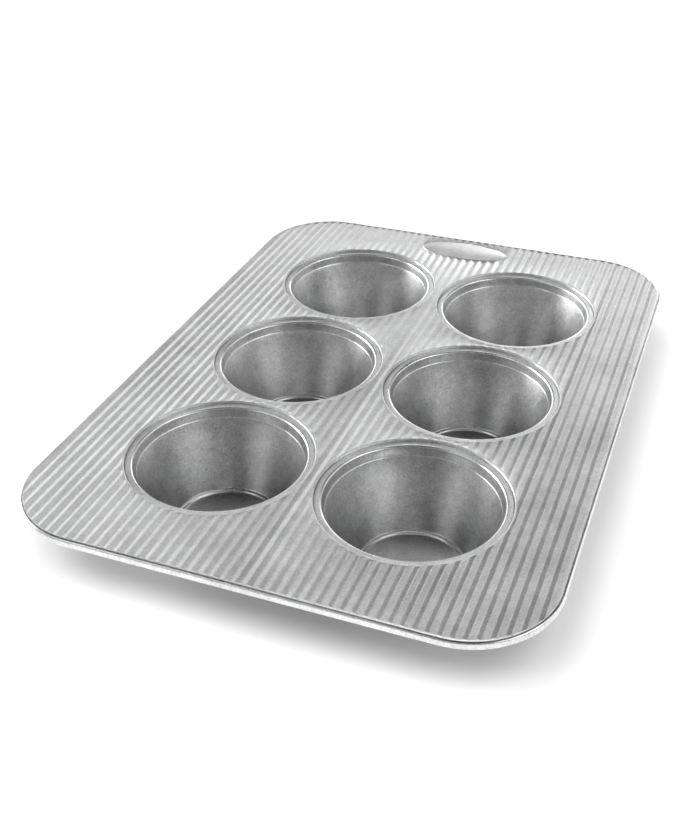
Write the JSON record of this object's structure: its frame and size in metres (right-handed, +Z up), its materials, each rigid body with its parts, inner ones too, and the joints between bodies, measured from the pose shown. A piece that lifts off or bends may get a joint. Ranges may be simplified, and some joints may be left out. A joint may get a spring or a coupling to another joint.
{
  "type": "muffin pan",
  "caption": "Ribbed steel baking pan with deep, tapered round cups in a rounded rectangular sheet, with a wired rolled rim and a plain oval pad at one short edge.",
  "frame": {"origin": "middle of the pan's outline, on the plane of the cups' bases that it stands on", "axes": "+X across the pan, +Y along its ribs towards the short edge with the oval pad, +Z up"},
  "size_m": [0.282, 0.394, 0.0482],
  "materials": {
    "sheet_steel": "aluminised steel, satin, with a faint mottled grain",
    "cup_steel": "aluminised steel, satin, drawn smooth",
    "wire_steel": "plain drawn steel wire"
  },
  "bodies": {
    "root": {"top_sheet": "sheet_steel", "rim_wire": "wire_steel", "cup_front_left": "cup_steel", "cup_front_right": "cup_steel", "cup_middle_left": "cup_steel", "cup_middle_right": "cup_steel", "cup_back_left": "cup_steel", "cup_back_right": "cup_steel"}
  },
  "joints": []
}
